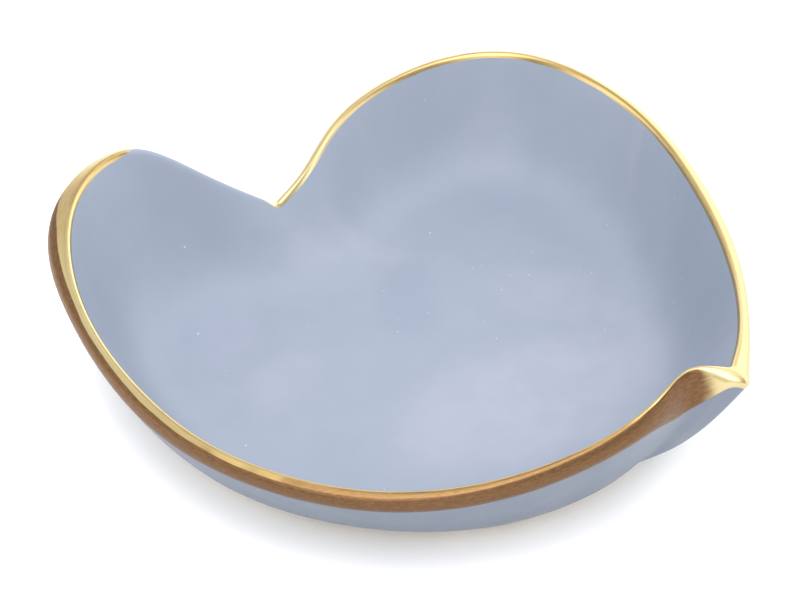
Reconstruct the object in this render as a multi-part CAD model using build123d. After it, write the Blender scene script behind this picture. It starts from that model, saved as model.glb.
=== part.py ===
from build123d import *
import math
import os

os.makedirs("parts", exist_ok=True)

# Sizes of the clay dish, in millimetres. Width is across the lobes and length is
# from the top of the left lobe to the tip, both nearly those of the rim's inner edge.
RIM_WIDTH = 116.0
RIM_LENGTH = 112.0
RIM_HEIGHT = 30.0
WALL_THICKNESS = 2.7
LIP_CROWN = 0.9

# Foot ring under the clay
FOOT_HEIGHT = 1.8
FOOT_WIDTH = 3.6
FOOT_INSET = 1.5
FOOT_ROOT = 0.5

# Coats on the clay, how far the gold comes down the outside, and the bare clay
# between the foot and the outside glaze
COAT_THICKNESS = 0.4
GOLD_DROP = 2.1
BARE_BAND = 1.0

# Overruns of the solids that only cut others
BAND_OVERRUN = 4.0
CUT_OVERRUN = 10.0

# Rim of the left lobe from the notch to the tip: shares of width, length and height,
# the lip's thickness in wall thicknesses, how far the gold comes down below the lip as
# a share of its drop, where the lip starts to slope as a share of its own width, and
# how far down the wall it slopes, in wall thicknesses
LEFT_RIM_SHARES = (
    (0.000, 0.000, 0.490, 0.45, 0.30, 0.60, 0.20),
    (-0.086, 0.064, 0.765, 0.55, 0.30, 0.65, 0.20),
    (-0.150, 0.134, 0.950, 0.70, 0.30, 0.65, 0.25),
    (-0.212, 0.151, 0.970, 1.15, 0.30, 0.65, 0.30),
    (-0.310, 0.116, 0.917, 1.70, 0.25, 0.65, 0.40),
    (-0.425, -0.024, 0.765, 0.95, 0.20, 0.65, 0.45),
    (-0.484, -0.212, 0.650, 0.92, 0.15, 0.65, 0.45),
    (-0.493, -0.391, 0.617, 0.78, 0.15, 0.65, 0.38),
    (-0.418, -0.595, 0.617, 0.72, 0.12, 0.58, 0.40),
    (-0.284, -0.728, 0.680, 0.66, 0.10, 0.30, 0.52),
    (-0.155, -0.794, 0.800, 0.66, 0.15, 0.10, 0.65),
    (-0.092, -0.810, 0.896, 0.88, 0.28, 0.05, 1.42),
    (-0.040, -0.817, 0.955, 1.25, 0.20, 0.04, 1.98),
    (-0.020, -0.834, 0.962, 1.05, 0.06, 0.20, 0.28),
    (0.000, -0.858, 0.950, 0.95, 0.12, 0.40, 0.10),
)

# Rim of the right lobe from the notch to the tip
RIGHT_RIM_SHARES = (
    (0.000, 0.000, 0.490, 0.45, 0.30, 0.60, 0.20),
    (0.065, 0.004, 0.573, 0.40, 0.30, 0.50, 0.20),
    (0.184, 0.041, 0.667, 0.50, 0.40, 0.50, 0.25),
    (0.362, 0.019, 0.767, 0.70, 0.50, 0.50, 0.30),
    (0.474, -0.078, 0.800, 0.80, 0.50, 0.50, 0.30),
    (0.483, -0.295, 0.783, 0.80, 0.50, 0.50, 0.30),
    (0.369, -0.519, 0.800, 0.85, 0.50, 0.50, 0.30),
    (0.282, -0.632, 0.828, 0.82, 0.50, 0.50, 0.30),
    (0.178, -0.739, 0.867, 0.62, 0.40, 0.50, 0.30),
    (0.058, -0.828, 0.935, 0.62, 0.30, 0.50, 0.30),
    (0.000, -0.858, 0.950, 0.95, 0.12, 0.40, 0.10),
)

# Edge of the flat floor opposite each rim point: shares of width and length
LEFT_FLOOR_SHARES = (
    (0.000, -0.152),
    (-0.082, -0.103),
    (-0.135, -0.060),
    (-0.190, -0.038),
    (-0.267, -0.054),
    (-0.336, -0.125),
    (-0.371, -0.259),
    (-0.366, -0.384),
    (-0.303, -0.521),
    (-0.212, -0.624),
    (-0.115, -0.665),
    (-0.070, -0.668),
    (-0.034, -0.661),
    (-0.017, -0.658),
    (0.000, -0.655),
)
RIGHT_FLOOR_SHARES = (
    (0.000, -0.152),
    (0.069, -0.134),
    (0.164, -0.098),
    (0.284, -0.107),
    (0.353, -0.170),
    (0.353, -0.321),
    (0.263, -0.470),
    (0.195, -0.540),
    (0.121, -0.613),
    (0.039, -0.650),
    (0.000, -0.655),
)

# Inside of the wall as a curve: shares of its run and rise at the four poles
RUN_SHARES = (0.0, 0.42, 0.66, 1.0)
RISE_SHARES = (0.0, 0.0, 0.40, 1.0)

# How square the lip is on its inside and outside, where the gold starts on its inner
# edge, and how far from the notch and the tip the two lobes share one wall thickness
LIP_ROUND_SHARE = 0.55
OUTER_ROUND_SHARE = 0.7
GOLD_START_SHARE = 0.10
CORNER_SHARE = 0.12
LEAST_SQUARE_SHARE = 0.6
SPACING_SHARE = 0.75

# Numbers of points and rings that carry the surfaces, and how much closer the points
# lie toward the notch and the tip
SPANS_PER_LOBE = 24
WALL_STEPS = 6
LIP_STEPS = 6
END_CROWDING_SHARE = 0.6

FLOOR_Z = FOOT_HEIGHT + WALL_THICKNESS


def crowded(even):
    """Place between 0 and 1, moved toward the nearer end."""
    waved = (1 - math.cos(math.pi * even)) / 2
    return even + (waved - even) * END_CROWDING_SHARE


SPOTS = [crowded(i / SPANS_PER_LOBE) for i in range(SPANS_PER_LOBE + 1)]


def natural_spline(knots, values):
    """Smooth curve through the values, as a function of the knots' parameter."""
    count = len(knots)
    gaps = [b - a for a, b in zip(knots, knots[1:])]
    slopes = [(b - a) / gap for a, b, gap in zip(values, values[1:], gaps)]
    upper = [0.0] * count
    right = [0.0] * count
    for i in range(1, count - 1):
        pivot = 2 * (gaps[i - 1] + gaps[i]) - gaps[i - 1] * upper[i - 1]
        upper[i] = gaps[i] / pivot
        right[i] = (6 * (slopes[i] - slopes[i - 1]) - gaps[i - 1] * right[i - 1]) / pivot
    bend = [0.0] * count
    for i in range(count - 2, 0, -1):
        bend[i] = right[i] - upper[i] * bend[i + 1]

    def curve(t):
        i = 0
        while i < count - 2 and t > knots[i + 1]:
            i += 1
        gap = gaps[i]
        before = knots[i + 1] - t
        after = t - knots[i]
        cubic = (bend[i] * before**3 + bend[i + 1] * after**3) / (6 * gap)
        start = (values[i] / gap - bend[i] * gap / 6) * before
        end = (values[i + 1] / gap - bend[i + 1] * gap / 6) * after
        return cubic + start + end

    return curve


def lobe_curves(rim_shares, floor_shares):
    """Curves of one lobe: rim x, y and z, lip, gold, ridge and bevel, then floor x and y."""
    sizes = (RIM_WIDTH, RIM_LENGTH, RIM_HEIGHT, 1, GOLD_DROP, 1, WALL_THICKNESS)
    rim = [[share * size for share, size in zip(row, sizes)] for row in rim_shares]
    floor = [(x * RIM_WIDTH, y * RIM_LENGTH) for x, y in floor_shares]
    knots = [0.0]
    for here, there in zip(rim, rim[1:]):
        knots.append(knots[-1] + math.dist(here[:2], there[:2]) ** SPACING_SHARE)
    knots = [knot / knots[-1] for knot in knots]
    columns = list(zip(*rim)) + list(zip(*floor))
    return [natural_spline(knots, column) for column in columns]


class Station:
    """Upright section of the wall, from the edge of the floor out to the rim."""

    def __init__(self, curves, t):
        rim_x, rim_y, rim_z, self.lip, drop, self.ridge, self.bevel, self.x, self.y = (
            curve(t) for curve in curves
        )
        self.run = math.hypot(rim_x - self.x, rim_y - self.y)
        self.out_x = (rim_x - self.x) / self.run
        self.out_y = (rim_y - self.y) / self.run
        self.rise = rim_z - FLOOR_Z
        step = 1 / SPANS_PER_LOBE**3
        low, high = max(t - step, 0), min(t + step, 1)
        along_x = curves[0](high) - curves[0](low)
        along_y = curves[1](high) - curves[1](low)
        square = abs(self.out_x * along_y - self.out_y * along_x) / math.hypot(along_x, along_y)
        self.stretch = 1 / max(square, LEAST_SQUARE_SHARE)
        slant = math.hypot(bezier(RUN_SHARES, 1)[1] * self.run, bezier(RISE_SHARES, 1)[1] * self.rise)
        self.bevel_end = 1 - self.bevel / slant
        self.gold_end = self.bevel_end - drop / slant

    def thickness(self, s):
        """Wall thickness at height s, which changes evenly from the base to the lip."""
        return WALL_THICKNESS * (1 + (self.lip - 1) * s)

    def point(self, s, across, along):
        """Point at height s of the inside, moved across the wall and along it."""
        out, out_slope = bezier(RUN_SHARES, s)
        up, up_slope = bezier(RISE_SHARES, s)
        slant = math.hypot(out_slope * self.run, up_slope * self.rise)
        level = out_slope * self.run / slant
        climb = up_slope * self.rise / slant
        reach = self.run * out + (climb * across + level * along) * self.stretch
        height = FLOOR_Z + self.rise * up - level * across + climb * along
        return self.beyond(reach, height)

    def beyond(self, reach, height):
        """Point of the section plane at a distance out from the floor's edge."""
        return Vector(self.x + self.out_x * reach, self.y + self.out_y * reach, height)

    def inside(self, s, coat):
        """Point of the inside with a coat on it."""
        return self.point(s, -coat, 0)

    def outside(self, s, coat):
        """Point of the outside with a coat on it."""
        return self.point(s, self.thickness(s) + coat, 0)

    def over_lip(self, turn, coat):
        """Point over the lip, where 0 is the inside and 1 is where its slope meets the outside."""
        angle = math.pi * turn
        power = LIP_ROUND_SHARE if turn < 0.5 else OUTER_ROUND_SHARE
        side = math.copysign(abs(math.cos(angle)) ** power, math.cos(angle))
        top = math.sin(angle) ** power
        half = self.thickness(1) / 2
        share = (1 - side) / 2
        slope = max(0, share - self.ridge) / (1 - self.ridge)
        fall = self.bevel * slope**2 * (3 - slope) / 2
        here = self.point(1, half - (half + coat) * side, (LIP_CROWN + coat) * top - fall)
        last = self.point(1, self.thickness(1) + coat, -self.bevel)
        return here + (self.outside(self.bevel_end, coat) - last) * share


def bezier(poles, s):
    """Value and slope of a four-pole curve at s."""
    weights = ((1 - s) ** 3, 3 * s * (1 - s) ** 2, 3 * s**2 * (1 - s), s**3)
    rates = (3 * (1 - s) ** 2, 6 * s * (1 - s), 3 * s**2)
    value = sum(weight * pole for weight, pole in zip(weights, poles))
    slope = sum(rate * (b - a) for rate, a, b in zip(rates, poles, poles[1:]))
    return value, slope


def make_lobes():
    """Stations of both lobes, which share one wall stretch at the notch and the tip."""
    tables = ((LEFT_RIM_SHARES, LEFT_FLOOR_SHARES), (RIGHT_RIM_SHARES, RIGHT_FLOOR_SHARES))
    lobes = []
    for rim_shares, floor_shares in tables:
        curves = lobe_curves(rim_shares, floor_shares)
        lobes.append([Station(curves, t) for t in SPOTS])
    for end in (0, -1):
        shared = (lobes[0][end].stretch + lobes[1][end].stretch) / 2
        for lobe in lobes:
            miss = shared - lobe[end].stretch
            for t, spot in zip(SPOTS, lobe):
                spot.stretch += miss * max(0, 1 - abs(t + end) / CORNER_SHARE)
    return lobes


LOBES = make_lobes()


def closed_wire(place):
    """Heart-shaped wire through one place of every section."""
    left = [place(spot) for spot in LOBES[0]]
    right = [place(spot) for spot in LOBES[1]]
    edges = [
        Edge.make_spline(left, parameters=SPOTS),
        Edge.make_spline(right[::-1], parameters=SPOTS),
    ]
    return Wire(edges)


def bowl(coat):
    """Whole bowl with a coat of the given thickness on every face."""
    wires = []
    for i in range(WALL_STEPS + 1):
        wires.append(closed_wire(lambda spot: spot.inside(i / WALL_STEPS, coat)))
    for i in range(1, LIP_STEPS):
        wires.append(closed_wire(lambda spot: spot.over_lip(i / LIP_STEPS, coat)))
    for i in range(WALL_STEPS, -1, -1):
        wires.append(closed_wire(lambda spot: spot.outside(spot.bevel_end * i / WALL_STEPS, coat)))
    return Solid.make_loft(wires, False)


def band_edge(spot, beyond_inside, beyond_outside):
    """Point past one of the gold's edges, on the straight line through both."""
    start = spot.point(1, -COAT_THICKNESS, LIP_CROWN * GOLD_START_SHARE)
    stop = spot.outside(spot.gold_end, COAT_THICKNESS)
    way = (stop - start).normalized()
    return stop + way * beyond_outside if beyond_outside else start - way * beyond_inside


def below_gold():
    """Everything lower than the two edges of the gold, which is only used to cut."""

    def skirt(spot):
        return spot.beyond(spot.run + CUT_OVERRUN * spot.stretch, -CUT_OVERRUN)

    wires = [
        closed_wire(lambda spot: spot.beyond(0, FLOOR_Z + BAND_OVERRUN)),
        closed_wire(lambda spot: band_edge(spot, BAND_OVERRUN, 0)),
        closed_wire(lambda spot: band_edge(spot, 0, BAND_OVERRUN)),
        closed_wire(skirt),
    ]
    return Solid.make_loft(wires, True)


def foot_block(inset):
    """Heart-shaped block under the clay, its side set in from the edge of the floor."""
    outline = Face(closed_wire(lambda spot: spot.beyond(-inset, 0)))
    return extrude(outline, FOOT_HEIGHT + FOOT_ROOT, dir=(0, 0, 1))


def clay_body():
    """Fired clay: the bowl on its foot ring."""
    foot_ring = foot_block(FOOT_INSET) - foot_block(FOOT_INSET + FOOT_WIDTH)
    return bowl(0) + foot_ring


def coats():
    """Gold over the lip, glaze inside it and glaze outside it."""
    clay = bowl(0)
    coated = bowl(COAT_THICKNESS)
    cutter = below_gold()
    gold = (coated - cutter) - clay
    depth = CUT_OVERRUN + FOOT_HEIGHT + BARE_BAND
    bare = Box(RIM_WIDTH + RIM_LENGTH, RIM_WIDTH + RIM_LENGTH, depth)
    bare = Pos(0, -RIM_LENGTH / 2, depth / 2 - CUT_OVERRUN) * bare
    glaze = ((coated - bare) & cutter) - clay
    return gold, glaze


def write_parts():
    """Moves the pieces so that the origin is under the middle and writes them."""
    gold, glaze = coats()
    inner, outer = sorted(glaze.solids(), key=lambda solid: solid.bounding_box().size.X)
    pieces = {"clay_body": clay_body(), "inner_glaze": inner, "outer_glaze": outer, "gold_rim": gold}
    middle = gold.bounding_box().center()
    for name, piece in pieces.items():
        export_step(Pos(-middle.X, -middle.Y, 0) * piece, f"parts/{name}.step")


if __name__ == "__main__":
    write_parts()
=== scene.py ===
# Ring dish: its visual model, floor, light and camera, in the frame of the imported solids
import math

import bpy
import numpy as np
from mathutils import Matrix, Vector


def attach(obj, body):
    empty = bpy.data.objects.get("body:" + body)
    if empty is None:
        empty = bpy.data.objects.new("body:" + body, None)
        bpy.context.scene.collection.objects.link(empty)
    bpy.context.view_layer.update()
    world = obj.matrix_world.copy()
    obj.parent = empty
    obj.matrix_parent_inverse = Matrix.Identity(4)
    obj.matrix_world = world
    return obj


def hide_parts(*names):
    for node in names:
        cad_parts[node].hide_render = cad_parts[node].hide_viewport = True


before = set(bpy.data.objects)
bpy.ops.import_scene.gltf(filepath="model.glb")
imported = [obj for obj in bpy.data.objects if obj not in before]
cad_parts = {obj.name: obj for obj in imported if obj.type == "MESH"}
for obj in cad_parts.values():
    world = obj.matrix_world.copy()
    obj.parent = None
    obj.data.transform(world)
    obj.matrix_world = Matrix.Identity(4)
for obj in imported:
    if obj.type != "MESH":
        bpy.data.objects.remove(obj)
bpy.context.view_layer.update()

MM = 0.001

# Driving sizes of the dish, the same as the solids'
RIM_WIDTH = 116.0 * MM
RIM_LENGTH = 112.0 * MM
RIM_HEIGHT = 30.0 * MM
WALL_THICKNESS = 2.7 * MM
LIP_CROWN = 0.9 * MM
FOOT_HEIGHT = 1.8 * MM
FOOT_WIDTH = 3.6 * MM
FOOT_INSET = 1.5 * MM
GOLD_COAT = 0.4 * MM
GOLD_DROP = 2.1 * MM
BARE_BAND = 1.0 * MM

# The glaze lies a hair lower than the gold that is painted over its edge
GLAZE_COAT = 0.35 * MM

# Rounding of the foot ring, where it meets the clay and at its lower edges
FOOT_ROOT = 0.5 * MM
FOOT_NOSE = 0.5 * MM

# Place of the notch on the table once the dish is centred
NOTCH_X = -0.068 * MM
NOTCH_Y = 39.857 * MM

# Rim of each lobe from the notch to the tip: shares of width, length and height, the
# lip's thickness in wall thicknesses, how far the gold comes down below the lip as a
# share of its drop, where the lip starts to slope as a share of its own width, and how
# far down the wall it slopes, in wall thicknesses
LEFT_RIM_SHARES = (
    (0.000, 0.000, 0.490, 0.45, 0.30, 0.60, 0.20),
    (-0.086, 0.064, 0.765, 0.55, 0.30, 0.65, 0.20),
    (-0.150, 0.134, 0.950, 0.70, 0.30, 0.65, 0.25),
    (-0.212, 0.151, 0.970, 1.15, 0.30, 0.65, 0.30),
    (-0.310, 0.116, 0.917, 1.70, 0.25, 0.65, 0.40),
    (-0.425, -0.024, 0.765, 0.95, 0.20, 0.65, 0.45),
    (-0.484, -0.212, 0.650, 0.92, 0.15, 0.65, 0.45),
    (-0.493, -0.391, 0.617, 0.78, 0.15, 0.65, 0.38),
    (-0.418, -0.595, 0.617, 0.72, 0.12, 0.58, 0.40),
    (-0.284, -0.728, 0.680, 0.66, 0.10, 0.30, 0.52),
    (-0.155, -0.794, 0.800, 0.66, 0.15, 0.10, 0.65),
    (-0.092, -0.810, 0.896, 0.88, 0.28, 0.05, 1.42),
    (-0.040, -0.817, 0.955, 1.25, 0.20, 0.04, 1.98),
    (-0.020, -0.834, 0.962, 1.05, 0.06, 0.20, 0.28),
    (0.000, -0.858, 0.950, 0.95, 0.12, 0.40, 0.10),
)
RIGHT_RIM_SHARES = (
    (0.000, 0.000, 0.490, 0.45, 0.30, 0.60, 0.20),
    (0.065, 0.004, 0.573, 0.40, 0.30, 0.50, 0.20),
    (0.184, 0.041, 0.667, 0.50, 0.40, 0.50, 0.25),
    (0.362, 0.019, 0.767, 0.70, 0.50, 0.50, 0.30),
    (0.474, -0.078, 0.800, 0.80, 0.50, 0.50, 0.30),
    (0.483, -0.295, 0.783, 0.80, 0.50, 0.50, 0.30),
    (0.369, -0.519, 0.800, 0.85, 0.50, 0.50, 0.30),
    (0.282, -0.632, 0.828, 0.82, 0.50, 0.50, 0.30),
    (0.178, -0.739, 0.867, 0.62, 0.40, 0.50, 0.30),
    (0.058, -0.828, 0.935, 0.62, 0.30, 0.50, 0.30),
    (0.000, -0.858, 0.950, 0.95, 0.12, 0.40, 0.10),
)

# Edge of the flat floor opposite each rim point: shares of width and length
LEFT_FLOOR_SHARES = (
    (0.000, -0.152),
    (-0.082, -0.103),
    (-0.135, -0.060),
    (-0.190, -0.038),
    (-0.267, -0.054),
    (-0.336, -0.125),
    (-0.371, -0.259),
    (-0.366, -0.384),
    (-0.303, -0.521),
    (-0.212, -0.624),
    (-0.115, -0.665),
    (-0.070, -0.668),
    (-0.034, -0.661),
    (-0.017, -0.658),
    (0.000, -0.655),
)
RIGHT_FLOOR_SHARES = (
    (0.000, -0.152),
    (0.069, -0.134),
    (0.164, -0.098),
    (0.284, -0.107),
    (0.353, -0.170),
    (0.353, -0.321),
    (0.263, -0.470),
    (0.195, -0.540),
    (0.121, -0.613),
    (0.039, -0.650),
    (0.000, -0.655),
)

# Look of the gold at each rim point, all painted light: how brown its outer part is (painted
# dark reflection), where across the lip that starts, how tan the gold is (painted dim
# reflection), and how pale it is where it is neither (painted highlight)
LEFT_GOLD_SHARES = (
    (0.0, 0.60, 0.0, 1.0),
    (0.1, 0.60, 0.0, 0.8),
    (0.2, 0.60, 0.0, 0.4),
    (0.0, 0.80, 0.0, 0.1),
    (1.0, 0.52, 0.0, 0.3),
    (1.0, 0.31, 0.0, 0.8),
    (1.0, 0.38, 0.0, 0.6),
    (1.0, 0.42, 0.4, 0.2),
    (1.0, 0.45, 1.0, 0.0),
    (1.0, 0.40, 1.0, 0.0),
    (1.0, 0.25, 0.8, 0.1),
    (1.0, 0.12, 0.5, 0.4),
    (1.0, 0.08, 0.3, 0.4),
    (0.0, 0.20, 0.0, 0.9),
    (0.0, 0.40, 0.0, 0.6),
)
RIGHT_GOLD_SHARES = (
    (0.0, 0.60, 0.0, 1.0),
    (0.1, 0.60, 0.0, 1.0),
    (0.2, 0.60, 0.2, 0.6),
    (0.3, 0.60, 0.4, 0.2),
    (0.3, 0.70, 0.4, 0.1),
    (0.3, 0.70, 0.1, 0.1),
    (0.2, 0.70, 0.0, 0.2),
    (0.2, 0.70, 0.0, 0.2),
    (0.1, 0.60, 0.0, 0.3),
    (0.0, 0.50, 0.1, 0.4),
    (0.0, 0.40, 0.0, 0.6),
)

# Inside of the wall as a curve: shares of its run and rise at the four poles
RUN_SHARES = (0.0, 0.42, 0.66, 1.0)
RISE_SHARES = (0.0, 0.0, 0.40, 1.0)

# Middle of the floor from the notch: shares of width and length
FLOOR_MIDDLE_SHARES = (0.0, -0.38)

# How square the lip is on its inside and outside, and where the gold starts inside
LIP_ROUND_SHARE = 0.55
OUTER_ROUND_SHARE = 0.7
GOLD_START_SHARE = 0.10

# Over what share of a lobe its wall is blended with the other's at the notch and the
# tip, how slanted to the rim a section counts at most, and how the points are spread
CORNER_SHARE = 0.12
LEAST_SQUARE_SHARE = 0.6
SPACING_SHARE = 0.75
END_CROWDING_SHARE = 0.6

# Rounding of the notch and the tip, at the rim and where the wall meets the floor, how
# many times its width it reaches, and the least of it that is worked out
RIM_SOFTENING = 0.7 * MM
FLOOR_SOFTENING = 5.0 * MM
SOFTENING_REACH = 4
LEAST_SOFTENING_SHARE = 0.02

# How far the glaze runs smooth down the inside of the wall, and the least of that
POOL_WIDTH = 3.5 * MM
LEAST_POOL_SHARE = 0.02

# Slow waves that hands left in the floor: their length and height, and how far up the
# wall they have faded. Each is a sine times a cosine: its share of the height, and for
# both its turns along x and y and its start
SWELL_LENGTH = 30 * MM
SWELL_HEIGHT = 0.07 * MM
SWELL_END_SHARE = 0.9
SWELL_SHARES = (
    (1.0, (1.3, 0.7, 0.4), (-0.5, 0.9, 1.1)),
    (0.6, (2.3, -1.7, 2.0), (1.9, 2.1, 0.0)),
)

# Left lobe next to the notch, where the glaze goes over the lip and hides the gold: how
# soon from the notch it does, where it ends and over how much, as shares of the lobe,
# and how far over the lip it goes, as a share of half a turn
GLAZED_RISE_SHARE = 0.03
GLAZED_END_SHARE = 0.17
GLAZED_FALL_SHARE = 0.06
GLAZED_TURN_SHARE = 0.55

# Wander of the gold's inner edge, of its outer edge and of the glaze's lower edge: of
# how many waves it is made, the least of them, their length, and how far they go
WAVES = 6
LEAST_WAVE_SHARE = 0.5
INNER_WAVE_LENGTH = 9 * MM
INNER_WAVE_SHARE = 0.8
DROP_WAVE_LENGTH = 6 * MM
DROP_WAVE = 0.12 * MM
GLAZE_WAVE_LENGTH = 14 * MM
GLAZE_WAVE = 0.15 * MM

# Shares of the lip's width over which the gold's painted dark reflection (brown) and
# painted dim reflection (tan) fade in
BROWN_FADE_SHARE = 0.12
TAN_FADE_SHARE = 0.3

# Over how many rings the gold and the outside glaze thin out toward their lower edges,
# the least share of the glaze's coat there, below what height s its edge is looked for,
# and in how many halvings
GOLD_THINNING_RINGS = 2
GLAZE_THINNING_RINGS = 3
LEAST_COAT_SHARE = 0.02
HIGHEST_STOP_SHARE = 0.6
HALVINGS = 24

# Numbers of points round the dish and of rings up it
SPANS_PER_LOBE = 230
FLOOR_RINGS = 16
WALL_RINGS = 44
LIP_RINGS = 26
DROP_RINGS = 8
EDGE_RINGS = 5

# Degrees between two faces that meet in a sharp edge
SHARP_ANGLE = 55

FLOOR_Z = FOOT_HEIGHT + WALL_THICKNESS


def natural_spline(knots, values):
    """Smooth curve through rows of values, as a function of the knots' parameter."""
    count = len(knots)
    gaps = np.diff(knots)
    slopes = np.diff(values, axis=0) / gaps[:, None]
    system = np.eye(count)
    right = np.zeros_like(values)
    for i in range(1, count - 1):
        system[i, i - 1 : i + 2] = gaps[i - 1], 2 * (gaps[i - 1] + gaps[i]), gaps[i]
        right[i] = 6 * (slopes[i] - slopes[i - 1])
    bend = np.linalg.solve(system, right)

    def curve(t):
        i = np.clip(np.searchsorted(knots, t) - 1, 0, count - 2)
        gap = gaps[i][:, None]
        before = (knots[i + 1] - t)[:, None]
        after = (t - knots[i])[:, None]
        cubic = (bend[i] * before**3 + bend[i + 1] * after**3) / (6 * gap)
        start = (values[i] / gap - bend[i] * gap / 6) * before
        end = (values[i + 1] / gap - bend[i + 1] * gap / 6) * after
        return cubic + start + end

    return curve


def lobe_columns(rim_shares, floor_shares, gold_shares, t):
    """Rim and floor columns, the gold's look and the stretch of one lobe's sections."""
    rim = np.array(rim_shares) * (RIM_WIDTH, RIM_LENGTH, RIM_HEIGHT, 1, 1, 1, WALL_THICKNESS)
    floor = np.array(floor_shares) * (RIM_WIDTH, RIM_LENGTH)
    gold = np.array(gold_shares)
    steps = np.hypot(*np.diff(rim[:, :2], axis=0).T) / MM
    knots = np.concatenate([[0], np.cumsum(steps**SPACING_SHARE)])
    curve = natural_spline(knots / knots[-1], np.hstack([rim, floor, gold]))
    columns = curve(t)
    step = 1 / SPANS_PER_LOBE**2
    along = curve(np.minimum(t + step, 1))[:, :2] - curve(np.maximum(t - step, 0))[:, :2]
    out = columns[:, :2] - columns[:, 7:9]
    across = np.abs(out[:, 0] * along[:, 1] - out[:, 1] * along[:, 0])
    square = across / np.hypot(*out.T) / np.hypot(*along.T)
    return np.column_stack([columns, 1 / np.maximum(square, LEAST_SQUARE_SHARE)])


def bezier(poles, s):
    """Value and slope of a four-pole curve at s."""
    weights = ((1 - s) ** 3, 3 * s * (1 - s) ** 2, 3 * s**2 * (1 - s), s**3)
    rates = (3 * (1 - s) ** 2, 6 * s * (1 - s), 3 * s**2)
    value = sum(weight * pole for weight, pole in zip(weights, poles))
    slope = sum(rate * (b - a) for rate, a, b in zip(rates, poles, poles[1:]))
    return value, slope


def ease(x):
    """Smooth step from 0 to 1."""
    x = np.clip(x, 0, 1)
    return x * x * (3 - 2 * x)


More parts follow.
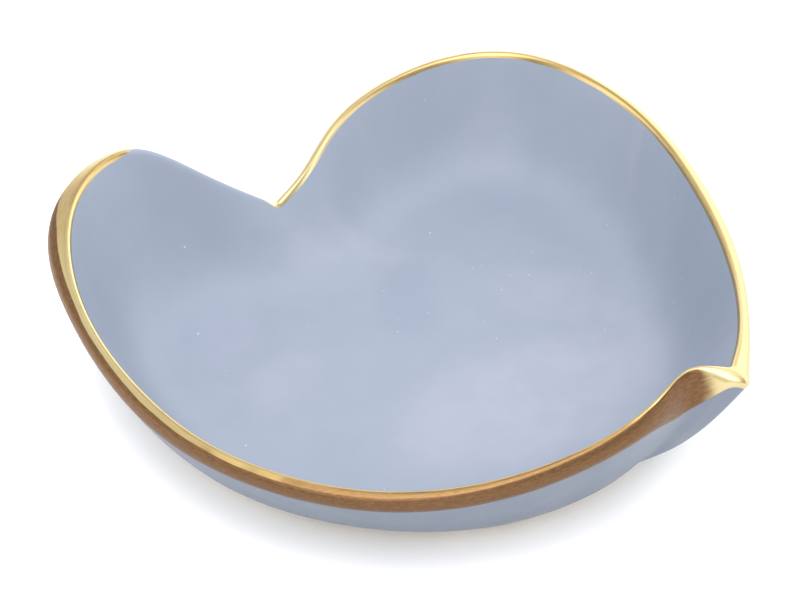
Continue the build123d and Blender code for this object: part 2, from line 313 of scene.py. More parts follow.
class Outline:
    """Upright sections of the wall, all round the dish from the notch past the tip."""

    def __init__(self):
        even = np.arange(SPANS_PER_LOBE + 1) / SPANS_PER_LOBE
        waved = (1 - np.cos(math.pi * even)) / 2
        t = even + (waved - even) * END_CROWDING_SHARE
        left = lobe_columns(LEFT_RIM_SHARES, LEFT_FLOOR_SHARES, LEFT_GOLD_SHARES, t)
        right = lobe_columns(RIGHT_RIM_SHARES, RIGHT_FLOOR_SHARES, RIGHT_GOLD_SHARES, t)

        # The first row of a lobe is the notch, where t is 0, and the last the tip, where t is 1
        for end in (0, -1):
            shared = (left[end, -1] + right[end, -1]) / 2
            fade = np.maximum(0, 1 - np.abs(t + end) / CORNER_SHARE)
            left[:, -1] += (shared - left[end, -1]) * fade
            right[:, -1] += (shared - right[end, -1]) * fade
        loop = np.vstack([left[:-1], right[:0:-1]])
        self.count = len(loop)
        rim_x, rim_y, rim_z, self.lip, self.gold, self.ridge, self.bevel, x, y = loop[:, :9].T
        # The gold's painted dark reflection (brown), where across the lip it starts, painted dim
        # reflection (tan) and painted highlight (pale)
        self.brown, self.brown_start, self.tan, self.pale, self.stretch = loop[:, 9:].T
        self.run = np.hypot(rim_x - x, rim_y - y)
        self.out = np.column_stack([(rim_x - x) / self.run, (rim_y - y) / self.run])
        self.foot = np.column_stack([x + NOTCH_X, y + NOTCH_Y])
        self.rise = rim_z - FLOOR_Z
        self.corners = (0, SPANS_PER_LOBE)

        # The glaze goes over the lip on the left lobe alone, so the right one counts as its end
        place = np.concatenate([t[:-1], np.full(len(loop) - len(t) + 1, 1.0)])
        rise = place / GLAZED_RISE_SHARE
        fall = (GLAZED_END_SHARE - place) / GLAZED_FALL_SHARE
        self.glazed = ease(np.minimum(rise, fall))

        steps = np.hypot(np.diff(rim_x, append=rim_x[0]), np.diff(rim_y, append=rim_y[0]))
        self.length = steps.sum()
        self.around = np.concatenate([[0], np.cumsum(steps)[:-1]])
        run_slope = bezier(RUN_SHARES, 1.0)[1]
        rise_slope = bezier(RISE_SHARES, 1.0)[1]
        self.slant = np.hypot(run_slope * self.run, rise_slope * self.rise)
        self.bevel_end = 1 - self.bevel / self.slant

    def thickness(self, s):
        """Wall thickness at height s, which changes evenly from the base to the lip."""
        return WALL_THICKNESS * (1 + (self.lip - 1) * s)

    def point(self, s, across, along):
        """Ring of points at height s of the inside, moved across the wall and along it."""
        s = np.broadcast_to(np.asarray(s, float), (self.count,))
        out, out_slope = bezier(RUN_SHARES, s)
        up, up_slope = bezier(RISE_SHARES, s)
        slant = np.hypot(out_slope * self.run, up_slope * self.rise)
        level = out_slope * self.run / slant
        climb = up_slope * self.rise / slant
        reach = self.run * out + (climb * across + level * along) * self.stretch
        height = FLOOR_Z + self.rise * up - level * across + climb * along
        return self.soften(self.beyond(reach, height), s)

    def beyond(self, reach, height):
        """Ring at a distance out from the edge of the floor."""
        height = np.broadcast_to(height, (self.count,))
        return np.column_stack([self.foot + self.out * np.reshape(reach, (-1, 1)), height])

    def soften(self, ring, s):
        """The ring with its notch and tip rounded, more so near the floor than at the rim."""
        steps = np.linalg.norm(np.roll(ring, -1, axis=0) - ring, axis=1)
        place = np.concatenate([[0], np.cumsum(steps)[:-1]])
        total = steps.sum()
        share = (steps + np.roll(steps, 1)) / 2
        widest = RIM_SOFTENING + (FLOOR_SOFTENING - RIM_SOFTENING) * (1 - s) ** 2
        result = ring.copy()
        for corner in self.corners:
            away = np.abs(place - place[corner])
            away = np.minimum(away, total - away)
            width = widest * np.clip(1 - away / (SOFTENING_REACH * widest), 0, 1)
            rows = np.nonzero(width > LEAST_SOFTENING_SHARE * RIM_SOFTENING)[0]
            gap = np.abs(place[rows][:, None] - place[None, :])
            gap = np.minimum(gap, total - gap)
            weight = share * np.exp(-((gap / width[rows][:, None]) ** 2) / 2)
            result[rows] = weight @ ring / weight.sum(1, keepdims=True)
        return result

    def lip_place(self, angle):
        """How far to the side and up the lip an angle is, and how far down its outer slope."""
        x, y = np.cos(angle), np.sin(angle)
        square = np.where(x > 0, 2 / LIP_ROUND_SHARE, 2 / OUTER_ROUND_SHARE)
        radius = (np.abs(x) ** square + np.abs(y) ** square) ** (-1 / square)
        share = (1 - radius * x) / 2
        return radius * x, radius * y, np.clip((share - self.ridge) / (1 - self.ridge), 0, 1)

    def over_lip(self, angle, coat):
        """Ring over the lip: angle 0 is the inside, and half a turn is the outside."""
        side, top, slope = self.lip_place(angle)
        half = self.thickness(1) / 2
        share = (1 - side) / 2
        fall = self.bevel * ease(slope / 2) * 2
        ring = self.point(1, half - (half + coat) * side, (LIP_CROWN + coat) * top - fall)
        last = self.point(1, self.thickness(1) + coat, -self.bevel)
        miss = self.outside(self.bevel_end, coat) - last
        return ring + miss * np.reshape(share, (-1, 1))

    def inside(self, s, coat):
        """Ring on the inside of the wall."""
        return self.point(s, -coat, 0)

    def outside(self, s, coat):
        """Ring on the outside of the wall."""
        return self.point(s, self.thickness(s) + coat, 0)


dish = Outline()


def wave(length, seed):
    """Slow wander between -1 and 1 along the rim, which closes on itself."""
    turns = np.arange(1, WAVES + 1) * max(1, round(dish.length / length / WAVES))
    random = np.random.default_rng(seed)
    phases = random.uniform(0, 2 * math.pi, len(turns))
    sizes = random.uniform(LEAST_WAVE_SHARE, 1, len(turns))
    angle = 2 * math.pi * dish.around / dish.length
    waves = zip(turns, phases, sizes)
    return sum(size * np.sin(turn * angle + phase) for turn, phase, size in waves) / sizes.sum()


def gold_edges():
    """Angle over the lip where the gold starts, and height s outside where it stops."""
    start = LIP_CROWN * GOLD_START_SHARE / (LIP_CROWN + GOLD_COAT)
    start = start * (1 + wave(INNER_WAVE_LENGTH, seed=3) * INNER_WAVE_SHARE)
    start = start + dish.glazed * GLAZED_TURN_SHARE * math.pi
    drop = GOLD_DROP * dish.gold + DROP_WAVE * wave(DROP_WAVE_LENGTH, seed=5)
    return start, dish.bevel_end - drop / dish.slant


gold_start, gold_stop = gold_edges()


def skin_faces(ring_count, closed):
    """Faces between the rings, fanned to a point at each end if they don't close."""
    count = dish.count
    faces = []
    for j in range(ring_count if closed else ring_count - 1):
        here = j * count
        there = (j + 1) % ring_count * count
        for k in range(count):
            k2 = (k + 1) % count
            faces.append((here + k, there + k, there + k2, here + k2))
    if not closed:
        final = (ring_count - 1) * count
        start = ring_count * count
        end = start + 1
        for k in range(count):
            k2 = (k + 1) % count
            faces.append((start, k, k2))
            faces.append((final + k, end, final + k2))
    return faces


def strip_places(rings):
    """Places of the rings' points as if the rim were a round drum, for streaks along it."""
    turn = 2 * math.pi * dish.around / dish.length
    radius = dish.length / (2 * math.pi)
    down = np.zeros(len(rings))
    for j in range(1, len(rings)):
        down[j] = down[j - 1] + np.linalg.norm(rings[j] - rings[j - 1], axis=1).mean()
    x, y = radius * np.cos(turn), radius * np.sin(turn)
    return np.vstack([np.column_stack([x, y, np.full(dish.count, z)]) for z in down])


def mark_points(mesh, name, values):
    """Attribute of the mesh's points, one number or one place for each."""
    kind, field = ("FLOAT_VECTOR", "vector") if values.ndim == 2 else ("FLOAT", "value")
    mark = mesh.attributes.new(name, kind, "POINT")
    mark.data.foreach_set(field, values.astype(np.float32).ravel())


def mesh_piece(name, rings, closed, marks=None):
    """Object skinned over the rings, closed on itself or with a middle point at each end."""
    points = np.vstack(rings)
    if not closed:
        points = np.vstack([points, rings[0].mean(0), rings[-1].mean(0)])
    mesh = bpy.data.meshes.new(name)
    mesh.from_pydata(points.tolist(), [], skin_faces(len(rings), closed))
    mesh.polygons.foreach_set("use_smooth", [True] * len(mesh.polygons))
    for key, values in (marks or {}).items():
        mark_points(mesh, key, values)
    mesh.set_sharp_from_angle(angle=math.radians(SHARP_ANGLE))
    mesh.update()
    piece = bpy.data.objects.new(name, mesh)
    bpy.context.scene.collection.objects.link(piece)
    return piece


# Middle of the floor, which its rings shrink to
MIDDLE = np.array([
    NOTCH_X + FLOOR_MIDDLE_SHARES[0] * RIM_WIDTH,
    NOTCH_Y + FLOOR_MIDDLE_SHARES[1] * RIM_LENGTH,
])


def disc(edge, count):
    """Rings that shrink from an edge to its middle."""
    rings = []
    for i in range(1, count):
        share = 1 - i / count
        ring = edge.copy()
        ring[:, :2] = MIDDLE + (edge[:, :2] - MIDDLE) * share
        rings.append(ring)
    return rings


def uneven(ring, size):
    """The ring with the slow waves that hands leave in the clay."""
    place = np.column_stack([ring[:, :2] / SWELL_LENGTH, np.ones(dish.count)])
    moved = ring.copy()
    for share, first, second in SWELL_SHARES:
        moved[:, 2] += np.sin(place @ first) * np.cos(place @ second) * share * size
    return moved


def pooled(rings, shares):
    """The rings with the glaze run smooth down the wall, where it pools above the floor."""
    stack = np.array(rings)
    steps = np.linalg.norm(np.diff(stack, axis=0), axis=2)
    ends = np.zeros((1, dish.count))
    place = np.vstack([ends, np.cumsum(steps, axis=0)])
    share = (np.vstack([ends, steps]) + np.vstack([steps, ends])) / 2
    width = POOL_WIDTH * np.maximum(np.array(shares), LEAST_POOL_SHARE)[:, None]
    smooth = stack.copy()
    for k in range(dish.count):
        gap = place[:, k][:, None] - place[:, k][None, :]
        weight = share[:, k] * np.exp(-((gap / width) ** 2) / 2)
        smooth[:, k] = weight @ stack[:, k] / weight.sum(1, keepdims=True)
    return list(smooth)


def inside_glaze():
    """Glaze of the inside, from its middle up to the gold."""
    heights = [i / WALL_RINGS for i in range(WALL_RINGS + 1)]
    up = [dish.inside(s, GLAZE_COAT) for s in heights]
    back = [dish.inside(s, 0) for s in reversed(heights)]
    floor = disc(up[0], FLOOR_RINGS)[::-1]
    under = disc(back[-1], FLOOR_RINGS)
    top = [dish.over_lip(gold_start * i / EDGE_RINGS, GLAZE_COAT) for i in range(1, EDGE_RINGS + 1)]
    top_back = [dish.over_lip(gold_start * i / EDGE_RINGS, 0) for i in range(EDGE_RINGS, 0, -1)]
    fade = [1.0] * len(floor) + [1 - ease(s / SWELL_END_SHARE) for s in heights]
    settled = [i / len(floor) for i in range(len(floor))] + fade[len(floor):]
    smooth = pooled(floor + up, settled)
    shown = [uneven(ring, SWELL_HEIGHT * share) for ring, share in zip(smooth, fade)]
    return mesh_piece("glaze_inside", shown + top + top_back + back + under, False)


def gold_lip():
    """Gold over the lip, from its inner edge to where it stops on the outside."""
    angles = [gold_start + (math.pi - gold_start) * i / LIP_RINGS for i in range(LIP_RINGS + 1)]
    rings, back, across = [], [], []
    for i, angle in enumerate(angles):
        coat = GLAZE_COAT + (GOLD_COAT - GLAZE_COAT) * ease(i / EDGE_RINGS)
        rings.append(dish.over_lip(angle, coat))
        back.append(dish.over_lip(angle, 0))
        across.append((1 - dish.lip_place(angle)[0]) / 2)
    for i in range(1, DROP_RINGS + 1):
        s = dish.bevel_end + (gold_stop - dish.bevel_end) * i / DROP_RINGS
        coat = GLAZE_COAT + (GOLD_COAT - GLAZE_COAT) * ease((DROP_RINGS - i) / GOLD_THINNING_RINGS)
        rings.append(dish.outside(s, coat))
        back.append(dish.outside(s, 0))
        across.append(np.ones(dish.count))
    rings += back[::-1]
    across = np.array(across + across[::-1])
    # Marks of the gold's painted light: dark reflection in brown, dim reflection in tan, highlight in
    # pale gold
    marks = {
        "strip_place": strip_places(rings),
        "painted_dark_reflection_share": (dish.brown * ease((across - dish.brown_start) / BROWN_FADE_SHARE)).ravel(),
        "painted_dim_reflection_share": (dish.tan * ease(across / TAN_FADE_SHARE)).ravel(),
        "painted_highlight_share": np.tile(dish.pale, len(rings)),
    }
    return mesh_piece("gold_lip", rings, True, marks)


def bare_height():
    """Height s at which the outside glaze stops, all round."""
    low = np.zeros(dish.count)
    high = np.full(dish.count, HIGHEST_STOP_SHARE)
    target = FOOT_HEIGHT + BARE_BAND + GLAZE_WAVE * wave(GLAZE_WAVE_LENGTH, seed=8)
    for _ in range(HALVINGS):
        middle = (low + high) / 2
        over = dish.outside(middle, GLAZE_COAT)[:, 2] > target
        high = np.where(over, middle, high)
        low = np.where(over, low, middle)
    return (low + high) / 2


glaze_stop = bare_height()


def outside_glaze():
    """Glaze of the outside, from the gold down to the bare clay."""
    rings, back = [], []
    for i in range(WALL_RINGS + 1):
        s = gold_stop + (glaze_stop - gold_stop) * i / WALL_RINGS
        left = (WALL_RINGS - i) / GLAZE_THINNING_RINGS
        coat = GLAZE_COAT * math.sqrt(max(LEAST_COAT_SHARE, 1 - (1 - min(1, left)) ** 2))
        rings.append(dish.outside(s, coat))
        back.append(dish.outside(s, 0))
    return mesh_piece("glaze_outside", rings + back[::-1], True)


def foot_rings():
    """Rings round the foot, down its outer side and up its inner one, by four round corners."""
    inner = FOOT_INSET + FOOT_WIDTH

    # Inset and height of each corner, and how far its round goes across and up
    corners = (
        (FOOT_INSET, FOOT_HEIGHT, -FOOT_ROOT, -FOOT_ROOT),
        (FOOT_INSET, 0, FOOT_NOSE, FOOT_NOSE),
        (inner, 0, -FOOT_NOSE, FOOT_NOSE),
        (inner, FOOT_HEIGHT, FOOT_ROOT, -FOOT_ROOT),
    )
    rings = []
    for i, (inset, height, across, up) in enumerate(corners):
        for j in range(EDGE_RINGS + 1):
            angle = math.pi / 2 * j / EDGE_RINGS
            bends = (1 - math.cos(angle), 1 - math.sin(angle))
            over, down = bends if i % 2 else bends[::-1]
            ring = dish.beyond(np.full(dish.count, -(inset + across * over)), height + up * down)
            rings.append(dish.soften(ring, np.zeros(dish.count)))
    return rings


def fired_clay():
    """Clay under the coats, with its foot ring and its flat underside."""
    heights = [i / WALL_RINGS for i in range(WALL_RINGS + 1)]
    up = [dish.inside(s, 0) for s in heights]
    lip = [dish.over_lip(math.pi * i / LIP_RINGS, 0) for i in range(1, LIP_RINGS)]
    out = [dish.outside(dish.bevel_end * s, 0) for s in reversed(heights)]
    floor = disc(up[0], FLOOR_RINGS)[::-1]
    foot = foot_rings()
    under = disc(foot[-1], FLOOR_RINGS)
    return mesh_piece("fired_clay", floor + up + lip + out[:-1] + foot + under, False)


# Most of a noise lies between these two values
NOISE_SHARES = (0.3, 0.7)


class Look:
    """Material with its shader and short calls that add nodes to it."""

    def __init__(self, name):
        self.material = bpy.data.materials.new(name)
        self.material.use_nodes = True
        self.tree = self.material.node_tree
        self.tree.nodes.clear()
        self.output = self.tree.nodes.new("ShaderNodeOutputMaterial")
        self.shader = self.tree.nodes.new("ShaderNodeBsdfPrincipled")
        self.join(self.shader.outputs[0], self.output.inputs[0])

    def join(self, source, target):
        """Links a socket to another."""
        self.tree.links.new(source, target)

    def fill(self, socket, value):
        """Gives a socket a value, or links it to the socket that has it."""
        if isinstance(value, bpy.types.NodeSocket):
            self.join(value, socket)
        else:
            socket.default_value = value

    def node(self, kind, inputs=None, **settings):
        """Node with its settings made and its inputs filled."""
        made = self.tree.nodes.new(kind)
        for key, value in settings.items():
            setattr(made, key, value)
        for key, value in (inputs or {}).items():
            self.fill(made.inputs[key], value)
        return made

    def here(self):
        """Place on the object, in metres of the shared frame."""
        return self.node("ShaderNodeTexCoord").outputs["Object"]

    def mark(self, name, output="Fac"):
        """Attribute of the mesh's points."""
        return self.node("ShaderNodeAttribute", attribute_name=name).outputs[output]

    def stretched(self, source, scale):
        """Place multiplied by a scale for each axis."""
        return self.node("ShaderNodeMapping", {"Vector": source, "Scale": scale}).outputs[0]

    def noise(self, source, size, detail=2.0, roughness=0.5, distortion=0.0, output="Fac"):
        """Noise with marks of about a given size."""
        inputs = {
            "Vector": source,
            "Scale": 1 / size,
            "Detail": detail,
            "Roughness": roughness,
            "Distortion": distortion,
        }
        return self.node("ShaderNodeTexNoise", inputs).outputs[output]

    def ranged(self, source, low, high, new_low, new_high, kind="SMOOTHSTEP"):
        """Value moved from one range to another, and held at its ends."""
        inputs = {
            "Value": source,
            "From Min": low,
            "From Max": high,
            "To Min": new_low,
            "To Max": new_high,
        }
        return self.node("ShaderNodeMapRange", inputs, interpolation_type=kind).outputs[0]

    def even(self, source, low, high):
        """Noise moved evenly to another range."""
        return self.ranged(source, *NOISE_SHARES, low, high, "LINEAR")

    def mix(self, share, first, second):
        """Colour between two others."""
        inputs = {0: share, 6: first, 7: second}
        return self.node("ShaderNodeMix", inputs, data_type="RGBA").outputs[2]

    def sum(self, first, second, kind="ADD"):
        """Sum, or another operation, of two values."""
        return self.node("ShaderNodeMath", {0: first, 1: second}, operation=kind).outputs[0]

    def vector(self, operation, *values):
        """Outputs of an operation on places."""
        return self.node("ShaderNodeVectorMath", dict(enumerate(values)), operation=operation).outputs

    def bump(self, height, depth, strength=1.0, before=None):
        """Normal of a surface that a height raises by up to a depth, over another bump."""
        inputs = {"Height": height, "Distance": depth, "Strength": strength}
        if before:
            inputs["Normal"] = before
        return self.node("ShaderNodeBump", inputs).outputs[0]

    def finish(self, colour=None, roughness=None, normal=None, **constants):
        """The material, with its shader's sockets linked or set."""
        for key, value in (("Base Color", colour), ("Roughness", roughness), ("Normal", normal)):
            if value is not None:
                self.join(value, self.shader.inputs[key])
        for key, value in constants.items():
            self.shader.inputs[key.replace("_", " ")].default_value = value
        return self.material


def shade(red, green, blue):
    """Linear colour of a screen colour that is not near black."""
    shares = [value / 255 for value in (red, green, blue)]
    return (*[((share + 0.055) / 1.055) ** 2.4 for share in shares], 1.0)


# Marks of the glaze, by their size: clouds, mottle, flecks, patches of another sheen,
# lumps and orange peel
CLOUD_SIZE = 42 * MM
MOTTLE_SIZE = 6 * MM
FLECK_SIZE = 0.9 * MM
SHEEN_SIZE = 9 * MM
LUMP_SIZE = 7 * MM
LUMP_DEPTH = 0.25 * MM
PEEL_SIZE = 1.1 * MM
PEEL_DEPTH = 0.03 * MM

# How much clouds, mottle and flecks change the glaze's colour, and the flecks' own
CLOUD_SHARE = 0.2
MOTTLE_SHARE = 0.22
FLECK_SHARE = 0.5
FLECK_SHADE = shade(214, 222, 232)

# How far the painted highlights and shades are drawn out of shape, by a noise of what size,
# and between which shares of their half length and half width they fade
DRIFT = 6 * MM
DRIFT_SIZE = 14 * MM
PAINTED_LIGHT_FADE_SHARES = (0.55, 1.25)

# Painted highlights and reflections (pale) and painted shade (deep) on the inside glaze, seen
# from above, in millimetres of the dish's own frame: middle x and y, half length, half width,
# degrees turned, and how much paler or deeper they are
PAINTED_HIGHLIGHTS = (
    (-3, -20, 28, 15, -15, 1.0),
    (23, -4, 13, 8, -60, 0.5),
    (26, -17, 9, 3, -105, 0.5),
    (-26, 15, 9, 6, 0, 0.4),
    (-23, 31, 9, 6, 20, 0.35),
    (11, 28, 9, 3, -60, 0.3),
    (1, 33, 6, 3, -10, 0.4),
    (-6, 58, 6, 1, 45, 0.5),
    (53, 1, 7, 1, 40, 0.4),
)
# Painted shade on the inside glaze, with the same columns
PAINTED_SHADES = (
    (5, 14, 11, 6, 40, 0.5),
    (50, 49, 12, 6, -40, 0.6),
    (-13, 66, 12, 8, 30, 0.5),
    (36, -30, 30, 9, 40, 0.7),
)


def drifted(look, place):
    """Place moved about a little, so that what follows it has an uneven outline."""
    drift = look.noise(place, DRIFT_SIZE, detail=3, output="Color")
    moved = look.vector("MULTIPLY_ADD", drift, (DRIFT, DRIFT, 0), place)[0]
    return look.vector("SUBTRACT", moved, (DRIFT / 2, DRIFT / 2, 0))[0]


def painted_light_share(look, place, painted_spots):
    """How much a place of the glaze lies in the painted highlights or shades, from 0 to 1."""
    total = 0.0
    for x, y, length, width, turn, share in painted_spots:
        settings = {
            "Vector": place,
            "Location": (x * MM, y * MM, 0),
            "Rotation": (0, 0, math.radians(turn)),
            "Scale": (length * MM, width * MM, 1),
        }
        near = look.node("ShaderNodeMapping", settings, vector_type="TEXTURE").outputs[0]
        away = look.vector("LENGTH", near)["Value"]
        total = look.sum(look.ranged(away, *PAINTED_LIGHT_FADE_SHARES, share, 0), total, "MAXIMUM")
    return total


def glaze_look(name, cool, lilac, deep, with_painted_light):
    """Satin glaze that is clouded, mottled and flecked, with painted highlights and shade where
    given.
    """
    look = Look(name)
    here = look.here()
    cloud = look.noise(here, CLOUD_SIZE, detail=3, roughness=0.45, distortion=0.4)
    tone = look.mix(look.ranged(cloud, 0.42, 0.66, 0, CLOUD_SHARE), cool, lilac)
    if with_painted_light:
        place = drifted(look, here)
        # Painted highlights and reflections in lilac, then painted shade in the deep colour
        tone = look.mix(painted_light_share(look, place, PAINTED_HIGHLIGHTS), tone, lilac)
        tone = look.mix(painted_light_share(look, place, PAINTED_SHADES), tone, deep)
    mottle = look.noise(here, MOTTLE_SIZE, detail=4, roughness=0.55)
    tone = look.mix(look.ranged(mottle, 0.35, 0.7, 0, MOTTLE_SHARE), tone, deep)
    flecks = look.noise(here, FLECK_SIZE, detail=1)
    tone = look.mix(look.ranged(flecks, 0.80, 0.84, 0, FLECK_SHARE), tone, FLECK_SHADE)
    rough = look.even(look.noise(here, SHEEN_SIZE, detail=3, roughness=0.6), 0.44, 0.54)
    lumps = look.bump(look.noise(here, LUMP_SIZE), LUMP_DEPTH, strength=0.5)
    peel = look.bump(look.noise(here, PEEL_SIZE), PEEL_DEPTH, strength=0.4, before=lumps)
    return look.finish(tone, rough, peel, IOR=1.45, Specular_IOR_Level=0.4)


# Marks of the gold, by their size: streaks and grain, both drawn out along the rim,
# patches, dents and brush marks
STREAK_SIZE = 3.0 * MM
STREAK_STRETCH = 16
GRAIN_SIZE = 0.9 * MM
GRAIN_STRETCH = 5
PATCH_SIZE = 7 * MM
DENT_SIZE = 6 * MM
DENT_DEPTH = 0.15 * MM
BRUSH_DEPTH = 0.012 * MM

# How much rougher the gold is where it is painted brown or tan, as dark or dim reflection
SATIN_ROUGHNESS = 0.16

# Colours of the gold: yellow from streak to streak, its duller patches, its pale parts that
# are painted highlight, and tan and brown from grain to grain that are painted dim and dark
# reflection
YELLOW_SHADES = shade(180, 153, 98), shade(190, 166, 112)
DULL_SHADE = shade(179, 147, 96)
PAINTED_HIGHLIGHT_SHADE = shade(196, 182, 138)
PAINTED_DIM_REFLECTION_SHADES = shade(132, 102, 66), shade(148, 118, 79)
PAINTED_DARK_REFLECTION_SHADES = shade(100, 73, 50), shade(120, 91, 64)


def gold_look():
    """Brushed gold lustre, yellow on top of the lip and satin on its slope, where brown paints a dark
    reflection, tan a dim one and pale gold a highlight.
    """
    look = Look("gold_lustre")
    strip = look.mark("strip_place", "Vector")
    lengthwise = look.stretched(strip, (1, 1, STREAK_STRETCH))
    streaks = look.noise(lengthwise, STREAK_SIZE, detail=4, roughness=0.6, distortion=0.2)
    lengthwise = look.stretched(strip, (1, 1, GRAIN_STRETCH))
    grain = look.noise(lengthwise, GRAIN_SIZE, detail=3, roughness=0.7)
    patches = look.noise(look.here(), PATCH_SIZE)
    wander = look.sum(look.even(streaks, -0.05, 0.05), look.even(patches, -0.2, 0.2))

    def ragged(name):
        """A mark with its edges made uneven, and nothing where the mark is nothing."""
        share = look.mark(name)
        present = look.ranged(share, 0.0, 0.2, 0, 1, "LINEAR")
        return look.sum(look.ranged(look.sum(share, wander), 0.25, 0.75, 0, 1), present, "MULTIPLY")

    # Brown is painted dark reflection, tan painted dim reflection and pale painted highlight
    brown = ragged("painted_dark_reflection_share")
    by_streak = look.ranged(streaks, *NOISE_SHARES, 0, 1)
    by_grain = look.ranged(grain, *NOISE_SHARES, 0, 1)
    yellow = look.mix(by_streak, *YELLOW_SHADES)
    yellow = look.mix(look.ranged(patches, 0.4, 0.7, 0, 0.3), yellow, DULL_SHADE)
    yellow = look.mix(look.mark("painted_highlight_share"), yellow, PAINTED_HIGHLIGHT_SHADE)
    tone = look.mix(ragged("painted_dim_reflection_share"), yellow, look.mix(by_grain, *PAINTED_DIM_REFLECTION_SHADES))
    tone = look.mix(brown, tone, look.mix(by_grain, *PAINTED_DARK_REFLECTION_SHADES))
    painted_reflection_share = look.sum(brown, look.mark("painted_dim_reflection_share"), "MAXIMUM")
    satin = look.sum(painted_reflection_share, SATIN_ROUGHNESS, "MULTIPLY")
    rough = look.sum(look.even(streaks, 0.26, 0.34), satin)
    dents = look.bump(look.noise(look.here(), DENT_SIZE), DENT_DEPTH, strength=0.3)
    brushed = look.bump(look.sum(streaks, grain), BRUSH_DEPTH, strength=0.4, before=dents)
    return look.finish(tone, rough, brushed, Metallic=1.0)


# Marks of the clay, by their size: grain, patches and grit, and the colours of these
CLAY_GRAIN_SIZE = 0.5 * MM
CLAY_GRAIN_DEPTH = 0.08 * MM
CLAY_PATCH_SIZE = 9 * MM
GRIT_SIZE = 0.7 * MM
CLAY_SHADES = shade(214, 204, 188), shade(196, 184, 166)
GRIT_SHADE = shade(140, 118, 96)


def clay_look():
    """Matt fired clay with a grain, patches and dark grit."""
    look = Look("bare_clay")
    here = look.here()
    grain = look.noise(here, CLAY_GRAIN_SIZE, detail=5, roughness=0.65)
    patches = look.noise(here, CLAY_PATCH_SIZE, detail=3)
    tone = look.mix(look.ranged(patches, 0.35, 0.65, 0, 1), *CLAY_SHADES)
    grit = look.noise(here, GRIT_SIZE, detail=1)
    tone = look.mix(look.ranged(grit, 0.7, 0.75, 0, 0.7), tone, GRIT_SHADE)
    rough = look.even(grain, 0.7, 0.92)
    return look.finish(tone, rough, look.bump(grain, CLAY_GRAIN_DEPTH, strength=0.6))


# Colours of the glazes: cool, lilac and deep; inside, lilac and deep also paint highlights and shade
INSIDE_SHADES = shade(131, 140, 155), shade(143, 147, 163), shade(123, 133, 149)
# The outside's colours are the inside glaze made darker: painted shade
SHADED_OUTSIDE_SHADES = shade(108, 116, 130), shade(113, 118, 131), shade(102, 110, 124)


def dress():
    """Pieces of the dish with their looks, each riding on the body."""
    inner = glaze_look("blue_glaze", *INSIDE_SHADES, with_painted_light=True)
    outer = glaze_look("blue_glaze_outside_painted_shade", *SHADED_OUTSIDE_SHADES, with_painted_light=False)
    pieces = (
        (inside_glaze(), inner, "inner_glaze", "inside_glaze"),
        (outside_glaze(), outer, "outer_glaze", "outside_glaze"),
        (gold_lip(), gold_look(), "gold_rim", "gold"),
        (fired_clay(), clay_look(), "clay_body", "clay"),
    )
    for piece, material, node, slot in pieces:
        piece.data.materials.append(material)
        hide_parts(node)
        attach(piece, "root")


# The floor's half width in metres, and its faint clouds: their size and colours
FLOOR_HALF = 3.0
FLOOR_CLOUD_SIZE = 60 * MM
FLOOR_SHADES = shade(247, 247, 247), shade(250, 250, 250)


def floor_look():
    """Matt white floor with faint clouds."""
    look = Look("pale_floor")
    clouds = look.ranged(look.noise(look.here(), FLOOR_CLOUD_SIZE), *NOISE_SHARES, 0, 1)
    return look.finish(look.mix(clouds, *FLOOR_SHADES), Roughness=0.9)


def make_floor():
    """Plain pale floor, which isn't part of the dish."""
    half = FLOOR_HALF
    corners = [(-half, -half, 0), (half, -half, 0), (half, half, 0), (-half, half, 0)]
    mesh = bpy.data.meshes.new("table")
    mesh.from_pydata(corners, [], [(0, 1, 2, 3)])
    mesh.materials.append(floor_look())
    table = bpy.data.objects.new("table", mesh)
    bpy.context.scene.collection.objects.link(table)


# Camera at the photograph's viewing angle: its place and what it looks at, in metres,
# how many degrees wide it sees, and from how near to how far
CAMERA_PLACE = Vector((-0.2627, -0.2177, 0.2719))
CAMERA_TARGET = Vector((-0.0028, 0.0090, 0.0120))
CAMERA_WIDTH = 18
CAMERA_NEAR = 0.01
CAMERA_FAR = 10


def make_camera():
    """Camera that sees the dish as the photograph shows it."""
    data = bpy.data.cameras.new("camera")
    data.sensor_fit = "HORIZONTAL"
    data.angle = math.radians(CAMERA_WIDTH)
    data.clip_start = CAMERA_NEAR
    data.clip_end = CAMERA_FAR
    camera = bpy.data.objects.new("camera", data)
    camera.location = CAMERA_PLACE
    camera.rotation_euler = (CAMERA_TARGET - CAMERA_PLACE).to_track_quat("-Z", "Y").to_euler()
    bpy.context.scene.collection.objects.link(camera)
    bpy.context.scene.camera = camera


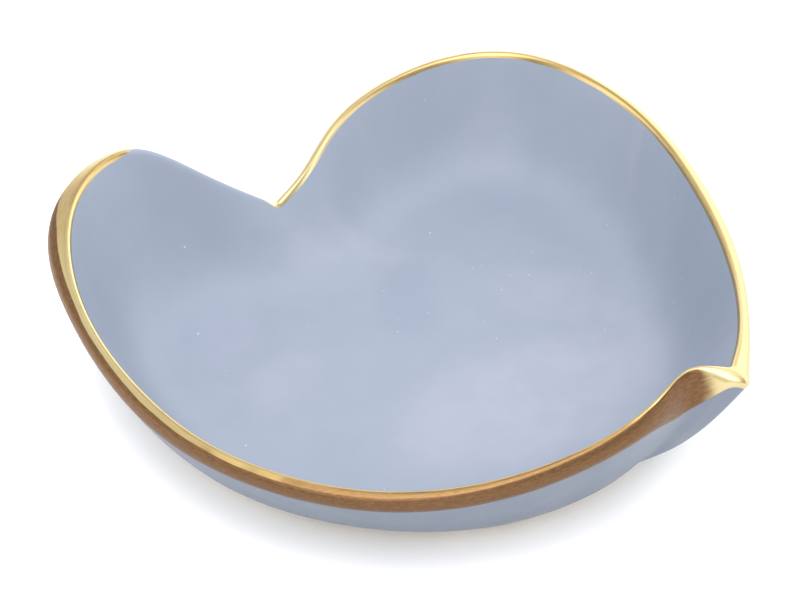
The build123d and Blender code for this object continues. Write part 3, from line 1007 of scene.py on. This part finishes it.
# Even light of the room, and its soft lamps: degrees turned from the camera's side,
# degrees above the horizon, and strength. A lamp fades out over the degrees of its reach
ROOM_LIGHT = 0.52
LAMPS = (
    (0, 90, 1.8),
    (0, 60, 3.0),
    (0, 30, 1.4),
    (135, 30, 2.5),
    (225, 30, 0.5),
    (270, 30, 0.65),
    (90, 4, 1.95),
    (180, 4, 1.95),
    (270, 4, 1.95),
)
LAMP_REACH = 38


def toward_room(turn, height):
    """Direction in the room, turned from the camera's side about the dish."""
    back = CAMERA_PLACE - CAMERA_TARGET
    angle = math.atan2(back.y, back.x) + math.radians(turn)
    rise = math.radians(height)
    return (math.cos(angle) * math.cos(rise), math.sin(angle) * math.cos(rise), math.sin(rise))


def make_light():
    """Pale room with broad soft lamps that fade out toward their edges."""
    world = bpy.data.worlds.new("studio")
    bpy.context.scene.world = world
    world.use_nodes = True
    tree = world.node_tree
    tree.nodes.clear()
    output = tree.nodes.new("ShaderNodeOutputWorld")
    background = tree.nodes.new("ShaderNodeBackground")
    background.inputs[0].default_value = (1, 1, 1, 1)
    coords = tree.nodes.new("ShaderNodeTexCoord").outputs["Generated"]
    total = tree.nodes.new("ShaderNodeValue").outputs[0]
    total.default_value = ROOM_LIGHT
    for turn, height, strength in LAMPS:
        toward = tree.nodes.new("ShaderNodeVectorMath")
        toward.operation = "DOT_PRODUCT"
        toward.inputs[1].default_value = toward_room(turn, height)
        tree.links.new(coords, toward.inputs[0])
        lamp = tree.nodes.new("ShaderNodeMapRange")
        lamp.interpolation_type = "SMOOTHSTEP"
        lamp.inputs["From Min"].default_value = math.cos(math.radians(LAMP_REACH))
        lamp.inputs["To Max"].default_value = strength
        tree.links.new(toward.outputs["Value"], lamp.inputs["Value"])
        both = tree.nodes.new("ShaderNodeMath")
        tree.links.new(total, both.inputs[0])
        tree.links.new(lamp.outputs[0], both.inputs[1])
        total = both.outputs[0]
    tree.links.new(total, background.inputs[1])
    tree.links.new(background.outputs[0], output.inputs[0])


make_camera()
make_light()
make_floor()
dress()
bpy.context.scene.view_settings.view_transform = "Standard"
bpy.context.scene.view_settings.look = "None"
